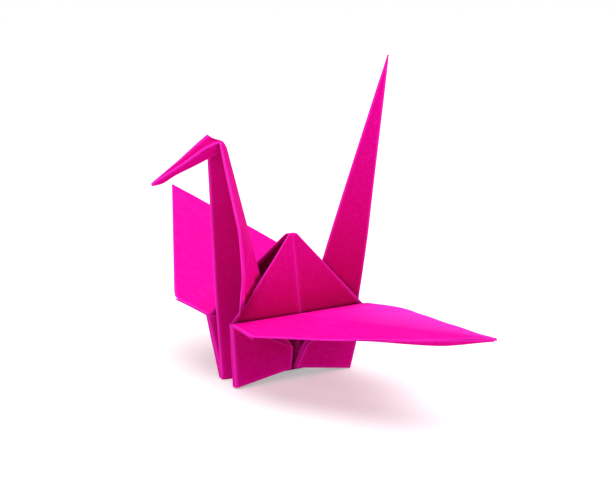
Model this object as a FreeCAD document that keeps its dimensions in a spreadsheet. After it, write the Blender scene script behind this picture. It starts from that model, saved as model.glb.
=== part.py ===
import FreeCAD, Part
import math
import os

# Folded paper crane
#
# One square of paper, folded and never cut. Millimetres and degrees, +Z up. The head points
# to -X, the tail to +X, and the wings to -Y and +Y. The crane stands on four feet, the low
# corners of its body, on the plane Z = 0.
#
# Everything follows from the side of the square and a few fold angles. Lengths on the flat
# folded base are measured from the tip of a leg upwards, and a leg is half the side of the
# square long.

Vector = FreeCAD.Vector

doc = FreeCAD.newDocument("FoldedCrane")

# Driving dimensions
sheet = doc.addObject("Spreadsheet::Sheet", "Dimensions")
sheet.Label = "Dimensions"
dimensions = [
    ("paper_side", 150.0, "side of the square of paper"),
    ("sheet_thickness", 0.1, "one layer of paper"),
    ("ply_pitch", 0.13, "one layer with the air that folding leaves"),
    ("narrowing_angle", 11.25, "half the angle of a narrowed leg at its tip"),
    ("wing_edge_angle", 22.5, "half the angle of a wing at its tip"),
    ("reverse_fold_tilt", 7.0, "tilt of the creases that turn the neck and tail up"),
    ("half_gap_root", 4.8, "half the body's width at the wing roots"),
    ("near_gap_foot", 2.9, "centre to the feet on the -Y side"),
    ("far_gap_foot", 4.8, "centre to the feet on the +Y side"),
    ("far_spread", 1.1, "how much further out the far wing root stands than the near one"),
    ("hump_raise", 1.2, "how far the puffed hump rises above its flat height"),
    ("hump_shift", 1.1, "how far its top stands to the tail side"),
    ("hump_bulge", 0.6, "how far the centre crease of a hump face stands proud"),
    ("slit_head", 1.9, "front flap on the head side, inner edge to the centre line"),
    ("slit_tail_foot", -0.6, "front flap on the tail side, inner edge to it at the bottom"),
    ("slit_tail_peak", 2.1, "the same at the flap's point"),
    ("point_sag", 0.85, "how much lower than on a flat fold the points of the flaps hang"),
    ("layer_step", 0.3, "how far each folded-in layer stops short of the one under it"),
    ("seam_gap", 0.3, "gap between the raw edges under a wing"),
    ("near_wing_rise", 6.5, "how far the wing on the -Y side rises"),
    ("near_wing_lean", 5.0, "how far it leans to the tail"),
    ("near_wing_twist", 1.5, "how far its rear edge is lifted"),
    ("near_wing_sag", 0.1, "sag of its outer half"),
    ("near_wing_fall", 4.6, "slope of it to each side of its centre crease"),
    ("far_wing_rise", 19.4, "how far the wing on the +Y side rises"),
    ("far_wing_lean", 2.5, "how far it leans to the tail"),
    ("far_wing_twist", 4.0, "how far its rear edge is lifted"),
    ("far_wing_sag", -0.4, "sag of its outer half"),
    ("far_wing_fall", 4.5, "slope of it to each side of its centre crease"),
    ("tip_width", 1.0, "width of the paper at a wing tip"),
    ("neck_lean", 17.0, "lean of the neck towards the head"),
    ("neck_side_lean", -3.5, "lean of the neck to -Y when negative"),
    ("neck_near_middle", 41.0, "how far the neck's near wall opens at mid length"),
    ("neck_near_top", 49.0, "how far it opens near the head"),
    ("neck_far_middle", 32.0, "how far the neck's far wall opens at mid length"),
    ("neck_far_top", 38.0, "how far it opens near the head"),
    ("tail_lean", 19.0, "lean of the tail away from the head"),
    ("tail_bow", 0.6, "how far the tail bows to the head side"),
    ("tail_lift", 0.7, "how far the tail's crotch stands above the neck's"),
    ("leg_puff", 0.4, "how far air between the layers widens the neck and the tail"),
    ("tail_side_lean", -2.5, "lean of the tail to -Y when negative"),
    ("tail_open_low", 10.0, "half angle between the tail walls at a quarter of its length"),
    ("tail_open_middle", 27.0, "half angle between the tail walls near mid length"),
    ("tail_open_top", 27.0, "half angle between the tail walls near the tip"),
    ("head_length", 20.0, "length of the head along its lower fold"),
    ("head_sag", 0.5, "how far the head's lower fold sags"),
    ("head_droop", 18.0, "how far the head points down"),
    ("head_turn", -5.0, "turn of the head to -Y when negative"),
    ("head_crease_tilt", 42.0, "tilt of the crease between neck and head"),
]
for row, (alias, value, note) in enumerate(dimensions, start=1):
    sheet.set("A%d" % row, alias)
    sheet.set("B%d" % row, str(value))
    sheet.setAlias("B%d" % row, alias)
    sheet.set("C%d" % row, note)
doc.recompute()


def dim(alias):
    return float(sheet.get(alias))


def radians(alias):
    return math.radians(dim(alias))


# Flat folded base: points on the half with x > 0, y counted up from the tip of a leg
leg = dim("paper_side") / 2.0
slope = math.tan(radians("narrowing_angle"))
centre_y = leg * math.sqrt(2.0)
root_y = centre_y / (1.0 + slope)
root_x = root_y * slope
wing_slope = math.tan(radians("wing_edge_angle"))
corner_y = 2.0 * leg * wing_slope / (slope + wing_slope)
corner_x = corner_y * slope
flap_point_y = leg / math.cos(radians("wing_edge_angle"))
foot_x = leg * slope / (1.0 + slope * math.tan(radians("reverse_fold_tilt")))
foot_y = foot_x / slope
wing_length = 2.0 * leg - root_y
corner_out = corner_y - root_y
spine_length = centre_y - leg
foot_to_spine = math.hypot(foot_x, leg - foot_y)
foot_to_root = math.hypot(root_x - foot_x, root_y - foot_y)
ply = dim("ply_pitch")


def mirrored(point, side_x, side_y):
    return Vector(point.x * side_x, point.y * side_y, point.z)


def unit(vector):
    result = Vector(vector)
    result.normalize()
    return result


# Opened body: the hump's top is at the origin for now
#
# The gusset on the neck side is folded in along a spine that runs from the hump's top to the
# crotch. Opening the wing roots by "half_gap_root" sets the angle between its two halves, and
# so how far the spine tips.
gusset_sine = dim("half_gap_root") / root_x
gusset_cosine = math.sqrt(1.0 - gusset_sine ** 2)
spine_tip = math.pi / 2.0 - 2.0 * math.atan(gusset_cosine)
spine_down = Vector(-math.sin(spine_tip), 0, -math.cos(spine_tip))
spine_out = Vector(-math.cos(spine_tip), 0, math.sin(spine_tip))
hump_top = Vector(dim("hump_shift"), 0, dim("hump_raise"))
neck_crotch = spine_down * spine_length
tail_crotch = mirrored(neck_crotch, -1, 1)
root_left = spine_down * root_x + spine_out * (root_x * gusset_cosine)
root_left = root_left + Vector(0, -1, 0) * (root_x * gusset_sine)


# The foot is at known distances from the crotch and from the wing root, at its own distance
# from the centre; of the two such points it is the lower one
def lower_point(first, second, first_length, second_length, level):
    first_radius = math.sqrt(first_length ** 2 - (level - first.y) ** 2)
    second_radius = math.sqrt(second_length ** 2 - (level - second.y) ** 2)
    span_x = second.x - first.x
    span_z = second.z - first.z
    span = math.hypot(span_x, span_z)
    along = (first_radius ** 2 - second_radius ** 2 + span ** 2) / (2.0 * span)
    across = math.sqrt(max(first_radius ** 2 - along ** 2, 0.0))
    mid_x = first.x + span_x * along / span
    mid_z = first.z + span_z * along / span
    options = []
    for sign in (1.0, -1.0):
        x = mid_x - sign * across * span_z / span
        z = mid_z + sign * across * span_x / span
        options.append(Vector(x, level, z))
    return min(options, key=lambda option: option.z)


near_foot = lower_point(neck_crotch, root_left, foot_to_spine, foot_to_root,
                        -dim("near_gap_foot"))
far_foot = lower_point(neck_crotch, root_left, foot_to_spine, foot_to_root,
                       -dim("far_gap_foot"))
# all four feet touch the table
far_foot.z = near_foot.z

# Each piece of the sheet that moves as one stiff facet becomes a panel; the panels are fused
pieces = []


def add_face(name, points):
    feature = doc.addObject("Part::Feature", name)
    feature.Shape = Part.Face(Part.makePolygon(list(points) + [points[0]]))
    return feature


def add_panel(name, points, outward, outer_plies, inner_plies):
    # a flat facet, so many layers to each side of its fold plane
    base = add_face(name + "_outline", points)
    normal = (points[1] - points[0]).cross(points[2] - points[0])
    normal = unit(normal)
    if normal.dot(outward) < 0:
        normal = normal * -1.0
    panel = doc.addObject("Part::Extrusion", name)
    panel.Base = base
    panel.DirMode = "Custom"
    panel.Dir = normal
    panel.Solid = True
    panel.setExpression("LengthFwd", "Dimensions.ply_pitch * %s" % outer_plies)
    panel.setExpression("LengthRev", "Dimensions.ply_pitch * %s" % inner_plies)
    pieces.append(panel)
    return panel


def add_loft(name, sections, ruled):
    # a bent facet, drawn through closed sections
    wires = []
    for number, points in enumerate(sections):
        section = doc.addObject("Part::Feature", "%s_section_%d" % (name, number))
        section.Shape = Part.makePolygon(list(points) + [points[0]])
        wires.append(section)
    loft = doc.addObject("Part::Loft", name)
    loft.Sections = wires
    loft.Solid = True
    loft.Ruled = ruled
    pieces.append(loft)
    return loft


half_sheet = dim("sheet_thickness") / (2.0 * ply)
plate_plies = 2.5
corner_plies = 2.2

# Body: on each side a front plate, two gusset facets at each end and the hump's face
for side, side_y, reach, foot in (("near", 1, 1, near_foot),
                                  ("far", -1, -dim("far_spread"), far_foot)):
    outward = Vector(0, -side_y, 0)
    root_head = mirrored(root_left, 1, reach)
    root_tail = mirrored(root_left, -1, reach)
    foot_head = mirrored(foot, 1, side_y)
    foot_tail = mirrored(foot, -1, side_y)
    root_middle = (root_head + root_tail) * 0.5
    foot_middle = (foot_head + foot_tail) * 0.5
    down = unit(foot_middle - root_middle)
    plate_normal = down.cross(Vector(1, 0, 0))
    if plate_normal.dot(outward) < 0:
        plate_normal = plate_normal * -1.0
    crease = root_middle + outward * dim("hump_bulge")

    def on_plate(x, drop, plies=0.0):
        return root_middle + Vector(x, 0, 0) + down * drop + plate_normal * (plies * ply)

    # hump face: one layer, with its light centre crease
    for end, corner in (("head", root_head), ("tail", root_tail)):
        add_panel("%s_hump_%s" % (side, end), [hump_top, corner, crease], outward,
                  half_sheet, half_sheet)
    # the little step where the crease of the hump stands proud of the wing root
    add_panel("%s_hump_ledge" % side, [root_head, root_tail, crease], Vector(0, 0, 1),
              half_sheet, half_sheet)
    # three layers that run across the whole front, down to the crotch
    cross_x = leg * slope
    plate = [on_plate(-root_x, 0), on_plate(root_x, 0), on_plate(cross_x, root_y - leg),
             on_plate(-cross_x, root_y - leg)]
    add_panel("%s_plate" % side, plate, outward, plate_plies, 0.5)
    # the narrowed edges, folded in over the front: four more layers in two flaps. The two
    # lower layers run on under the wing, the two upper ones end at the 22.5 degree edge from
    # the wing root to the flap's point
    point_drop = root_y - flap_point_y
    point_sag = dim("point_sag")
    for end, sign, slit_foot, slit_peak in (
            ("head", -1, dim("slit_head"), dim("slit_head")),
            ("tail", 1, dim("slit_tail_foot"), dim("slit_tail_peak"))):
        for layer in range(4):
            level = plate_plies - 0.1 + layer
            back = dim("layer_step") * layer
            flap = [on_plate(sign * root_x, 0, level),
                    on_plate(sign * foot_x, root_y - foot_y, level),
                    on_plate(sign * (slit_foot + back), root_y - leg, level)]
            if layer < 2:
                flap.append(on_plate(sign * (slit_peak + back),
                                     point_drop - slit_peak - back + point_sag, level))
                flap.append(on_plate(sign * point_drop, 0, level))
            else:
                edge_fall = point_drop / root_x * (slit_peak + back)
                flap.append(on_plate(sign * (slit_peak + back),
                                     point_drop - edge_fall + point_sag, level))
            add_panel("%s_flap_%s_%d" % (side, end, layer), flap, outward, 1.1, 0)
    # gusset: one layer from the hump's edge in to the spine, and on down to the crotch crease
    for end, corner, heel, crotch in (("head", root_head, foot_head, neck_crotch),
                                      ("tail", root_tail, foot_tail, tail_crotch)):
        add_panel("%s_gusset_%s" % (side, end), [hump_top, corner, crotch], outward,
                  half_sheet, half_sheet)
        add_panel("%s_heel_%s" % (side, end), [corner, heel, crotch], outward, 1, 0.5)


# Neck and tail: V channels, four layers to each wall, folded along the spine
def channel_section(spine, near, far, thickness):
    # closed outline of the V in the plane of its three points, walls thickened inwards
    to_near = unit(near - spine)
    to_far = unit(far - spine)
    plane = unit(to_near.cross(to_far))
    near_in = unit(plane.cross(to_near))
    far_in = unit(to_far.cross(plane))
    bisector = unit(to_near + to_far)
    half = math.acos(max(-1.0, min(1.0, to_near.dot(bisector))))
    inner_spine = spine + bisector * (thickness / math.sin(half))
    return [spine, near, near + near_in * thickness, inner_spine,
            far + far_in * thickness, far]


def leg_points(start, direction, away, length, near_angle, far_angle):
    # spine and edge points of a narrowed leg at a distance from its tip
    spine = start + direction * (leg - length)
    forward = unit(away - direction * away.dot(direction))
    sideways = unit(direction.cross(forward))
    if sideways.y > 0:
        sideways = sideways * -1.0
    width = slope * length
    near = spine + forward * (width * math.cos(near_angle))
    near = near + sideways * (width * math.sin(near_angle))
    far = spine + forward * (width * math.cos(far_angle))
    far = far - sideways * (width * math.sin(far_angle))
    puff = min(dim("leg_puff"), width * 0.5)
    spine = spine - forward * (puff * 0.6)
    return spine, near + forward * (puff * 0.25), far + forward * (puff * 0.25)


def leaning(angle, side_angle, sign):
    return Vector(sign * math.sin(angle) * math.cos(side_angle), math.sin(side_angle),
                  math.cos(angle) * math.cos(side_angle))


wall = 3.0 * ply + dim("sheet_thickness")
base_angle = math.asin(dim("near_gap_foot") / foot_to_spine)

neck_direction = leaning(radians("neck_lean"), radians("neck_side_lean"), -1)
neck_forward = Vector(-1, 0, 0)
head_crease = math.tan(radians("head_crease_tilt"))
edge_station = dim("head_length") / (1.0 + slope * head_crease)
neck_sections = []
foot_near = near_foot
foot_far = mirrored(far_foot, 1, -1)
neck_sections.append(channel_section(neck_crotch, foot_near, foot_far, wall))


def opened(share, middle_angle, top_angle):
    # the opening grows up to the middle faster than from there to the head
    if share < 0.5:
        return base_angle + (middle_angle - base_angle) * share / 0.5
    return middle_angle + (top_angle - middle_angle) * min(1.0, (share - 0.5) / 0.2)


near_middle = radians("neck_near_middle")
near_top = radians("neck_near_top")
far_middle = radians("neck_far_middle")
far_top = radians("neck_far_top")
for share in (0.15, 0.32, 0.5, 0.68, 0.85):
    station = leg + (dim("head_length") - leg) * share
    spine, near, far = leg_points(neck_crotch, neck_direction, neck_forward, station,
                                  opened(share, near_middle, near_top),
                                  opened(share, far_middle, far_top))
    neck_sections.append(channel_section(spine, near, far, wall))
head_start = neck_crotch + neck_direction * (leg - dim("head_length"))
spine, near, far = leg_points(neck_crotch, neck_direction, neck_forward, edge_station,
                              near_top, far_top)
head_near = near
head_far = far
neck_sections.append(channel_section(head_start, head_near, head_far, wall))
add_loft("neck", neck_sections, True)

tail_direction = leaning(radians("tail_lean"), radians("tail_side_lean"), 1)
tail_forward = Vector(1, 0, 0)
tail_start = tail_crotch + Vector(0, 0, dim("tail_lift"))
low = radians("tail_open_low")
middle = radians("tail_open_middle")
top = radians("tail_open_top")
tail_sections = []
foot_near = mirrored(near_foot, -1, 1)
foot_far = mirrored(far_foot, -1, -1)
tail_sections.append(channel_section(tail_crotch, foot_near, foot_far, wall))
for share in (0.12, 0.25, 0.45, 0.6, 0.8, 0.93, 0.993):
    station = leg * (1.0 - share)
    if share < 0.25:
        angle = base_angle + (low - base_angle) * share / 0.25
    elif share < 0.45:
        angle = low + (middle - low) * (share - 0.25) / 0.2
    else:
        angle = middle + (top - middle) * (share - 0.45) / 0.55
    bow = Vector(-dim("tail_bow") * math.sin(math.pi * share ** 0.7), 0, 0)
    spine, near, far = leg_points(tail_start + bow, tail_direction, tail_forward, station,
                                  angle, angle)
    tail_sections.append(channel_section(spine, near, far, min(wall, 0.45 * slope * station)))
add_loft("tail", tail_sections, True)

# Head: the top of the neck folded in and forward; its V opens upwards
droop = radians("head_droop")
turn = radians("head_turn")
beak_direction = Vector(-math.cos(droop) * math.cos(turn), math.cos(droop) * math.sin(turn),
                        -math.sin(droop))
sag = Vector(0, 0, -dim("head_sag"))
beak = head_start + beak_direction * dim("head_length") + sag
head_fold = head_start + sag
head_plies = 1.9
add_panel("head_near", [head_fold, head_near, beak], Vector(0, -1, 0), head_plies, head_plies)
add_panel("head_far", [head_fold, head_far, beak], Vector(0, 1, 0), head_plies, head_plies)


# Wings: two layers with a raw-edge seam below, and the folded-in corners at the root
def wing_section(origin, along, across, normal, out, half_width, sag, twist, fold_fall,
                 thickness):
    side_direction = across * math.cos(twist) + normal * math.sin(twist)
    up = normal * math.cos(twist) - across * math.sin(twist)
    middle_point = origin + along * out - normal * sag
    fall = half_width * fold_fall
    seam = min(dim("seam_gap") / 2.0, half_width * 0.3)
    seam_fall = seam * fold_fall
    right = middle_point + side_direction * half_width - up * fall
    left = middle_point - side_direction * half_width - up * fall
    seam_right = middle_point + side_direction * seam - up * (thickness + seam_fall)
    seam_left = middle_point - side_direction * seam - up * (thickness + seam_fall)
    seam_right_up = seam_right + up * (thickness * 0.5)
    seam_left_up = seam_left + up * (thickness * 0.5)
    return [left, middle_point, right, right - up * thickness, seam_right, seam_right_up,
            seam_left_up, seam_left, left - up * thickness]


for side, side_y, reach in (("near", 1, 1), ("far", -1, -dim("far_spread"))):
    root_head = mirrored(root_left, 1, reach)
    root_tail = mirrored(root_left, -1, reach)
    outward = Vector(0, -side_y, 0)
    origin = (root_head + root_tail) * 0.5 + outward * (0.5 * ply)
    rise = radians(side + "_wing_rise")
    lean = radians(side + "_wing_lean")
    twist = radians(side + "_wing_twist")
    sag = dim(side + "_wing_sag")
    fold_fall = math.tan(radians(side + "_wing_fall"))
    straight = outward * math.cos(rise) + Vector(0, 0, 1) * math.sin(rise)
    across = Vector(1, 0, 0)
    normal = straight.cross(across)
    if normal.z < 0:
        normal = normal * -1.0
    along = straight + across * math.tan(lean)
    thickness = ply + dim("sheet_thickness")
    sections = []
    for share in (0.0, 1.0):
        half_width = root_x + (corner_x - root_x) * share
        sections.append(wing_section(origin, along, across, normal, corner_out * share,
                                     half_width, 0.0, twist * share, fold_fall * share,
                                     thickness))
    for share in (0.35, 0.55, 0.75, 0.9, 1.0):
        out = corner_out + (wing_length - corner_out) * share
        half_width = max(corner_x * (1.0 - share), dim("tip_width") / 2.0)
        dip = sag * math.sin(math.pi * min(1.0, share) ** 1.5)
        sections.append(wing_section(origin, along, across, normal, out, half_width, dip,
                                     twist, fold_fall, thickness))
    add_loft("%s_wing" % side, sections, True)
    # folded-in corners under the wing, between the root, the outer corner and the 45 degree edge
    crease_x = root_y - flap_point_y
    lower = -0.8 * thickness
    for end, sign in (("head", -1), ("tail", 1)):
        points = []
        for x, out in ((crease_x, 0.0), (root_x - 0.1, 0.0), (corner_x - 0.1, corner_out)):
            tilt = twist * out / corner_out
            side_direction = across * math.cos(tilt) + normal * math.sin(tilt)
            point = origin + along * out + side_direction * (sign * x)
            points.append(point + normal * (lower - x * fold_fall * out / corner_out))
        add_panel("%s_wing_corner_%s" % (side, end), points, Vector(0, 0, -1), corner_plies, 0)

doc.recompute()

# Fuse the facets to the one folded sheet, one end or side at a time
groups = [[], [], [], []]
for piece in pieces:
    if "wing" in piece.Name:
        groups[2].append(piece)
    elif piece.Name.startswith("near"):
        groups[0].append(piece)
    elif piece.Name.startswith("far"):
        groups[1].append(piece)
    else:
        groups[3].append(piece)
fused = None
for group in groups:
    part = group[0].Shape
    for piece in group[1:]:
        part = part.fuse(piece.Shape)
    fused = part if fused is None else fused.fuse(part)
solids = fused.Solids
if len(solids) != 1:
    raise RuntimeError("the facets form %d solids" % len(solids))

# The crane stands with its feet on Z = 0, centred in plan
folded = doc.addObject("Part::Feature", "folded_sheet")
folded.Label = "folded_sheet"
folded.Shape = solids[0]
box = folded.Shape.BoundBox
shift = Vector(-box.Center.x, -box.Center.y, -box.ZMin)
folded.Placement = FreeCAD.Placement(shift, FreeCAD.Rotation())
doc.recompute()

for item in doc.Objects:
    if "Invalid" in item.State or "Error" in item.State:
        raise RuntimeError("%s is %s" % (item.Name, item.State))
if folded.Shape.isNull() or not folded.Shape.isValid():
    raise RuntimeError("the folded sheet is not a valid solid")

box = folded.Shape.BoundBox
print("folded_sheet size %.2f x %.2f x %.2f mm" % (box.XLength, box.YLength, box.ZLength))
print("volume %.1f mm3, faces %d" % (folded.Shape.Volume, len(folded.Shape.Faces)))
print("origin of the hump's top in the finished frame", shift)
os.makedirs("parts", exist_ok=True)
folded.Shape.exportStep("parts/folded_sheet.step")
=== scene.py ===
# %% [markdown]
# # A folded paper crane
#
# The crane is one square of thin dyed paper, 150 mm on a side, folded and never cut.
# This lesson rebuilds its looks over the solid that stands in for it, in metres, with
# +Z up, the head towards -X and the tail towards +X. We start by loading that solid,
# and we note its box, because the paper has to stay inside it.

# %% Load the frame
import math
import bpy
import numpy as np
from mathutils import Vector, Matrix


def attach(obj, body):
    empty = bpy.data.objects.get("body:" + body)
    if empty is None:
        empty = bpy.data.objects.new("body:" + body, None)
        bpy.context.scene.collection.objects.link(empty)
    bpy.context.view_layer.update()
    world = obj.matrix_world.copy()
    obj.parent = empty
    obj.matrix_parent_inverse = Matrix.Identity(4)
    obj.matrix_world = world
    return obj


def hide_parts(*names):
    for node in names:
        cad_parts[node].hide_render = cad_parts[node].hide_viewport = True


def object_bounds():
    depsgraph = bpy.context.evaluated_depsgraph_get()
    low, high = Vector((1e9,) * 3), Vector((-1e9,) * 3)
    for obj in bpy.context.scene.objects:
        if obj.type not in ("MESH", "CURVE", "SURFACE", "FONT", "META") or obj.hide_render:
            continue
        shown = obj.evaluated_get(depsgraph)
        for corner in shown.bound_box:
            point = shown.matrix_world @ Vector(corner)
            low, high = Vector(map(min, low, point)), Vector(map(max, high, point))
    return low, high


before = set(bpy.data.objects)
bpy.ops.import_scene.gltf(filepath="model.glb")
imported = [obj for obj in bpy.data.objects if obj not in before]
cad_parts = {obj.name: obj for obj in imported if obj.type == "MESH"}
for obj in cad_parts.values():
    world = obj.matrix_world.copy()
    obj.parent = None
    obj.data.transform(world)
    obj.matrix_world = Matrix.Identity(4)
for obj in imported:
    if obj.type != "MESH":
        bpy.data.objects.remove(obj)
cad_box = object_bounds()
print("solid's box in metres:", cad_box)

# %% [markdown]
# ## The flat base
#
# A crane is folded from a bird base. All its lengths follow from the leg, which is half
# the side of the square, and from the 11.25 degree angle of a narrowed leg. We could
# measure the finished crane instead, but the creases give every length exactly, so
# edges that are folded onto each other come out equal. We work in millimetres, with the
# top of the hump at zero, and move everything into the frame at the end.

# %% Lengths of the flat base
LEG = 75.0
LEG_ANGLE, WING_ANGLE, FOOT_ANGLE = (math.radians(a) for a in (11.25, 22.5, 7))
NARROW = math.tan(LEG_ANGLE)
CENTRE_Y = LEG * math.sqrt(2)
ROOT_Y = CENTRE_Y / (1 + NARROW)
ROOT_X = ROOT_Y * NARROW
WING_SLOPE = math.tan(WING_ANGLE)
CORNER_Y = 2 * LEG * WING_SLOPE / (NARROW + WING_SLOPE)
CORNER_X = CORNER_Y * NARROW
CORNER_OUT = CORNER_Y - ROOT_Y
WING_LENGTH = 2 * LEG - ROOT_Y
POINT_DROP = ROOT_Y - LEG / math.cos(WING_ANGLE)
CROTCH_DROP = ROOT_Y - LEG
FOOT_X = LEG * NARROW / (1 + NARROW * math.tan(FOOT_ANGLE))
FOOT_Y = FOOT_X / NARROW
FOOT_DROP = ROOT_Y - FOOT_Y
# half the body's gap at the roots and the feet; the far roots stand further out
HALF_GAP_ROOT = 4.8
NEAR_GAP_FOOT = 2.9
FAR_GAP_FOOT = 4.8
FAR_SPREAD = 1.1
# the step from layer to layer, and the thickness that one layer is drawn with
PLY = 0.13
PAPER = 0.11
# where the zero point stands in the frame
HUMP_AT = np.array([5.37, 1.27, 32.24])
print("wing root half width %.2f, wing length %.2f mm" % (ROOT_X, WING_LENGTH))


def vec(x, y, z):
    return np.array([x, y, z], dtype=float)


def unit(v):
    return v / np.linalg.norm(v)


def flip(p, sx=1, sy=1):
    """Mirror or stretch a point: its x by sx and its y by sy."""
    return np.array([p[0] * sx, p[1] * sy, p[2]])


def mix(a, b, t):
    return a + (b - a) * t


# %% [markdown]
# ## Opening the body
#
# Pulling the wings apart opens the body: the hump rises to a point, and a gusset folds
# in between its two edges at the neck and again at the tail. Each gusset is two stiff
# facets hinged on a spine, so half the gap at the wing roots sets where the spine
# stands. The foot is then the lower of two points that lie at the right distance from
# the crotch and from the wing root, which is where two circles cross.

# %% Corner points of the opened body
sine = HALF_GAP_ROOT / ROOT_X
cosine = math.sqrt(1 - sine * sine)
tip = math.pi / 2 - 2 * math.atan(cosine)
spine_down = vec(-math.sin(tip), 0, -math.cos(tip))
spine_out = vec(-math.cos(tip), 0, math.sin(tip))
# the puffed hump ends a little off the point where its creases would meet
TOP = vec(1.35, 0, 1.8)
CROTCH = spine_down * (CENTRE_Y - LEG)
ROOT = (spine_down + spine_out * cosine) * ROOT_X + vec(0, -ROOT_X * sine, 0)


def lower_point(p, q, from_p, from_q, y):
    """The lower point at y that lies from_p away from p and from_q away from q."""
    rp = math.sqrt(from_p ** 2 - (y - p[1]) ** 2)
    rq = math.sqrt(from_q ** 2 - (y - q[1]) ** 2)
    dx, dz = q[0] - p[0], q[2] - p[2]
    span = math.hypot(dx, dz)
    along = (rp * rp - rq * rq + span * span) / (2 * span)
    across = math.sqrt(max(rp * rp - along * along, 0))
    mx, mz = p[0] + dx * along / span, p[2] + dz * along / span
    both = [vec(mx - s * across * dz / span, y, mz + s * across * dx / span)
            for s in (1, -1)]
    return min(both, key=lambda v: v[2])


# the head-side foot of each side, both as if on the near side: 1 is near, -1 is far
FEET = {side: lower_point(CROTCH, ROOT, math.hypot(FOOT_X, LEG - FOOT_Y),
                          math.hypot(ROOT_X - FOOT_X, ROOT_Y - FOOT_Y), -gap)
        for side, gap in ((1, NEAR_GAP_FOOT), (-1, FAR_GAP_FOOT))}
FEET[-1][2] = FEET[1][2]
print("root", ROOT.round(2), "foot", FEET[1].round(2), "crotch", CROTCH.round(2))

# %% [markdown]
# ## Paper from rows of points
#
# Every face of the crane is a strip of paper that we can describe by rows of points:
# each row runs across the strip and turns at its folds. A solidify modifier would give
# it thickness too, but here we build both faces and the rim ourselves, so the rim is
# rounded and each point knows how far it is from the nearest fold or edge. That
# distance is kept as an attribute that lightens folds and edges, partly as real wear
# and partly as a painted highlight. How much painted shade a point gets, for lying deep
# between layers or in a hollow, is kept as one named shade. The paper's colour reads
# both later.

# %% Rows that turn at folds
def row(points, turns, counts):
    """Points of one row, and the columns of its folds. turns: how far each corner is
    rounded, in mm. counts: steps of each straight part, crowded towards its ends."""
    pts = [np.asarray(p, float) for p in points]
    out, marks = [], []
    start = pts[0]
    for i in range(1, len(pts)):
        end = pts[i]
        last = i == len(pts) - 1
        way = unit(end - pts[i - 1])
        if last:
            stop = end
        else:
            before, ahead = end - pts[i - 1], pts[i + 1] - end
            room = min(np.linalg.norm(before), np.linalg.norm(ahead)) * 0.45
            bend = min(turns[i - 1], room)
            stop = end - way * bend
        n = counts[i - 1]
        for k in range(n + 1):
            t = k / n
            t = 0.5 * t + 0.5 * (0.5 - 0.5 * math.cos(math.pi * t))
            out.append(mix(start, stop, t))
        if not last:
            after = end + unit(pts[i + 1] - end) * bend
            first = len(out)
            for k in range(1, 4):
                t = k / 4
                out.append((1 - t) ** 2 * stop + 2 * t * (1 - t) * end + t * t * after)
            marks.append(first + 1)
            start = after
    return np.array(out), marks


# %% Sheets with two faces and a rounded rim
sheets = []
# how wide a light crease is, in mm, and a rim's wear and painted highlight as a share of a
# fold's
CREASE_WIDTH = 0.3
RIM_SHARE = 0.9
# height and reach of the points that round the rim, in half thicknesses
RIM_ROWS = ((0.7, 0.7), (0.0, 1.0), (-0.7, 0.7))


def lengths_along(grid, axis):
    """How far each point of a grid lies from the first of its column or row."""
    steps = np.linalg.norm(np.diff(grid, axis=axis), axis=2)
    return np.insert(np.cumsum(steps, axis=axis), 0, 0, axis=axis)


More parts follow.
